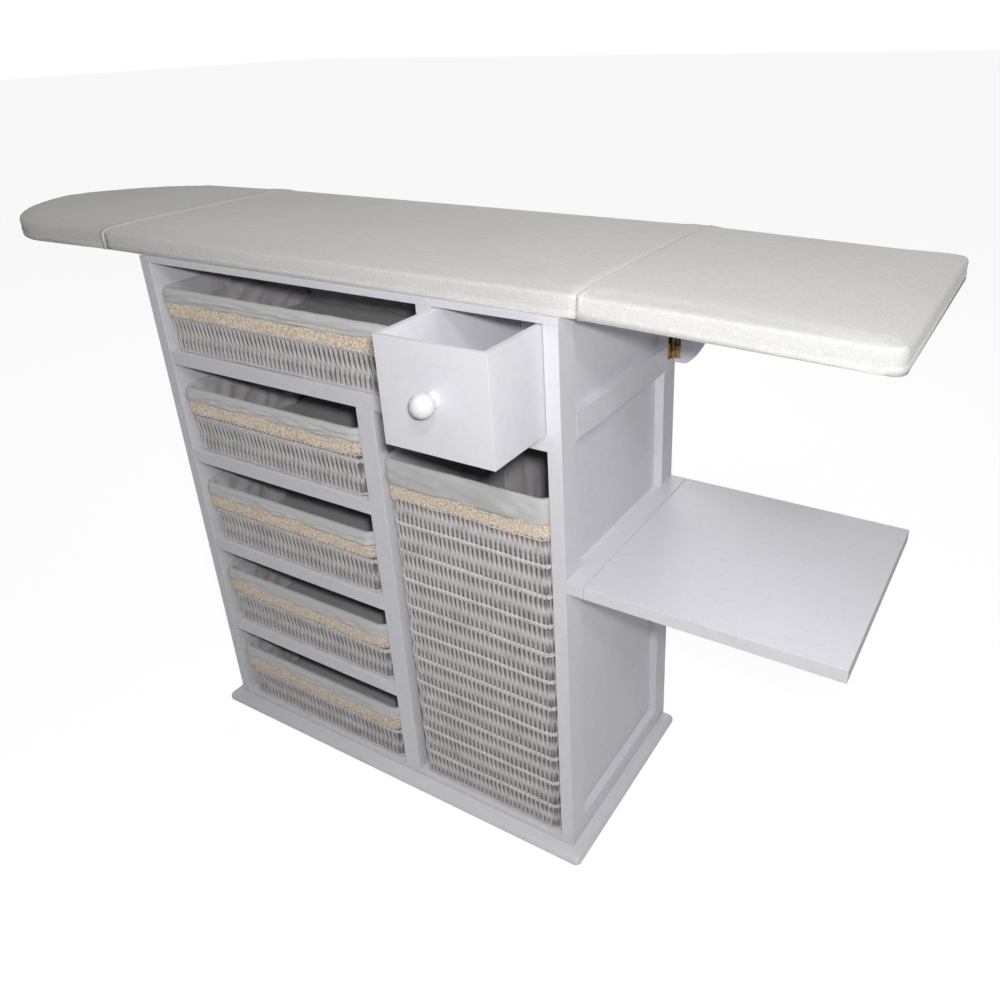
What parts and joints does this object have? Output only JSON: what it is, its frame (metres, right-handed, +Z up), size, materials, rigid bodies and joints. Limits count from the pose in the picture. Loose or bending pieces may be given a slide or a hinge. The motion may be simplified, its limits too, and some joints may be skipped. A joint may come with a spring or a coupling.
{
  "type": "ironing board cabinet",
  "caption": "Painted ironing-board cabinet with lined wicker baskets, a small drawer, a padded top with drop flaps at both ends and a drop-down side shelf.",
  "frame": {"origin": "on the floor, at the centre of the base board's underside", "axes": "+Z up, the open front faces -Y, the drop shelf is on the +X side"},
  "size_m": [1.5414, 0.5188, 0.858],
  "materials": {
    "white_paint": "satin white paint",
    "plywood": "painted plywood",
    "pad_cover": "off-white cotton over felt",
    "wicker": "grey-washed woven willow",
    "liner_cotton": "grey-green cotton",
    "hinge_brass": "aged"
  },
  "bodies": {
    "cabinet": {"base_board": "white_paint", "front_post_left": "white_paint", "front_post_right": "white_paint", "rear_post_left": "white_paint", "rear_post_right": "white_paint", "bottom_rail_left": "white_paint", "bottom_rail_right": "white_paint", "upper_rail_left": "white_paint", "upper_rail_right": "white_paint", "middle_rail_right": "white_paint", "side_panel_left": "white_paint", "side_panel_right": "white_paint", "back_panel": "white_paint", "top_panel": "white_paint", "bottom_panel": "white_paint", "shelf_top_row": "white_paint", "shelf_1": "white_paint", "shelf_2": "white_paint", "shelf_3": "white_paint", "lower_divider": "white_paint", "upper_divider": "white_paint", "centre_board_core": "plywood", "centre_pad": "pad_cover", "shelf_batten": "white_paint", "left_flap_hinge_fixed_leaf": "hinge_brass", "right_flap_hinge_fixed_leaf": "hinge_brass", "drop_shelf_hinge_fixed_leaf": "hinge_brass", "left_arm_fixed_leaf": "hinge_brass", "right_arm_fixed_leaf": "hinge_brass", "shelf_arm_fixed_leaf": "hinge_brass"},
    "left_flap": {"left_flap_core": "plywood", "left_pad": "pad_cover", "left_flap_hinge_moving_leaf": "hinge_brass"},
    "right_flap": {"right_flap_core": "plywood", "right_pad": "pad_cover", "right_flap_hinge_moving_leaf": "hinge_brass"},
    "drop_shelf": {"drop_shelf": "white_paint", "drop_shelf_hinge_moving_leaf": "hinge_brass"},
    "left_arm": {"left_arm": "white_paint", "left_arm_moving_leaf": "hinge_brass"},
    "right_arm": {"right_arm": "white_paint", "right_arm_moving_leaf": "hinge_brass"},
    "shelf_arm": {"shelf_arm": "white_paint", "shelf_arm_moving_leaf": "hinge_brass"},
    "drawer": {"drawer_front": "white_paint", "drawer_box": "white_paint", "drawer_bottom": "white_paint", "drawer_knob": "white_paint"},
    "wide_basket": {"wide_basket": "wicker", "wide_liner": "liner_cotton"},
    "small_1_basket": {"small_1_basket": "wicker", "small_1_liner": "liner_cotton"},
    "small_2_basket": {"small_2_basket": "wicker", "small_2_liner": "liner_cotton"},
    "small_3_basket": {"small_3_basket": "wicker", "small_3_liner": "liner_cotton"},
    "small_4_basket": {"small_4_basket": "wicker", "small_4_liner": "liner_cotton"},
    "tall_basket": {"tall_basket": "wicker", "tall_liner": "liner_cotton"}
  },
  "joints": [
    {"name": "left_flap_fold", "type": "hinge", "parent": "cabinet", "child": "left_flap", "pos_m": [-0.432, 0.041, 0.8247], "axis": [0, -1, 0], "range_deg": [0, 89]},
    {"name": "right_flap_fold", "type": "hinge", "parent": "cabinet", "child": "right_flap", "pos_m": [0.371, 0.041, 0.8247], "axis": [0, 1, 0], "range_deg": [0, 88.3]},
    {"name": "shelf_fold", "type": "hinge", "parent": "cabinet", "child": "drop_shelf", "pos_m": [0.377, 0.0085, 0.4672], "axis": [0, 1, 0], "range_deg": [0, 90]},
    {"name": "left_arm_swing", "type": "hinge", "parent": "cabinet", "child": "left_arm", "pos_m": [-0.355, 0.1545, 0.751], "axis": [0, 0, 1], "range_deg": [0, 89]},
    {"name": "right_arm_swing", "type": "hinge", "parent": "cabinet", "child": "right_arm", "pos_m": [0.355, 0.1545, 0.751], "axis": [0, 0, -1], "range_deg": [0, 88.3]},
    {"name": "shelf_arm_swing", "type": "hinge", "parent": "cabinet", "child": "shelf_arm", "pos_m": [0.355, 0.1545, 0.42], "axis": [0, 0, -1], "range_deg": [0, 90]},
    {"name": "wide_basket_slide", "type": "slide", "parent": "cabinet", "child": "wide_basket", "axis": [0, -1, 0], "range_m": [0, 0.26]},
    {"name": "small_1_basket_slide", "type": "slide", "parent": "cabinet", "child": "small_1_basket", "axis": [0, -1, 0], "range_m": [0, 0.26]},
    {"name": "small_2_basket_slide", "type": "slide", "parent": "cabinet", "child": "small_2_basket", "axis": [0, -1, 0], "range_m": [0, 0.26]},
    {"name": "small_3_basket_slide", "type": "slide", "parent": "cabinet", "child": "small_3_basket", "axis": [0, -1, 0], "range_m": [0, 0.26]},
    {"name": "small_4_basket_slide", "type": "slide", "parent": "cabinet", "child": "small_4_basket", "axis": [0, -1, 0], "range_m": [0, 0.26]},
    {"name": "tall_basket_slide", "type": "slide", "parent": "cabinet", "child": "tall_basket", "axis": [0, -1, 0], "range_m": [0, 0.26]},
    {"name": "drawer_slide", "type": "slide", "parent": "cabinet", "child": "drawer", "axis": [0, -1, 0], "range_m": [-0.103, 0.1]}
  ],
  "couplings": [
    {"joint": "left_arm_swing", "follows": "left_flap_fold", "ratio": 1},
    {"joint": "right_arm_swing", "follows": "right_flap_fold", "ratio": 1},
    {"joint": "shelf_arm_swing", "follows": "shelf_fold", "ratio": 1}
  ]
}
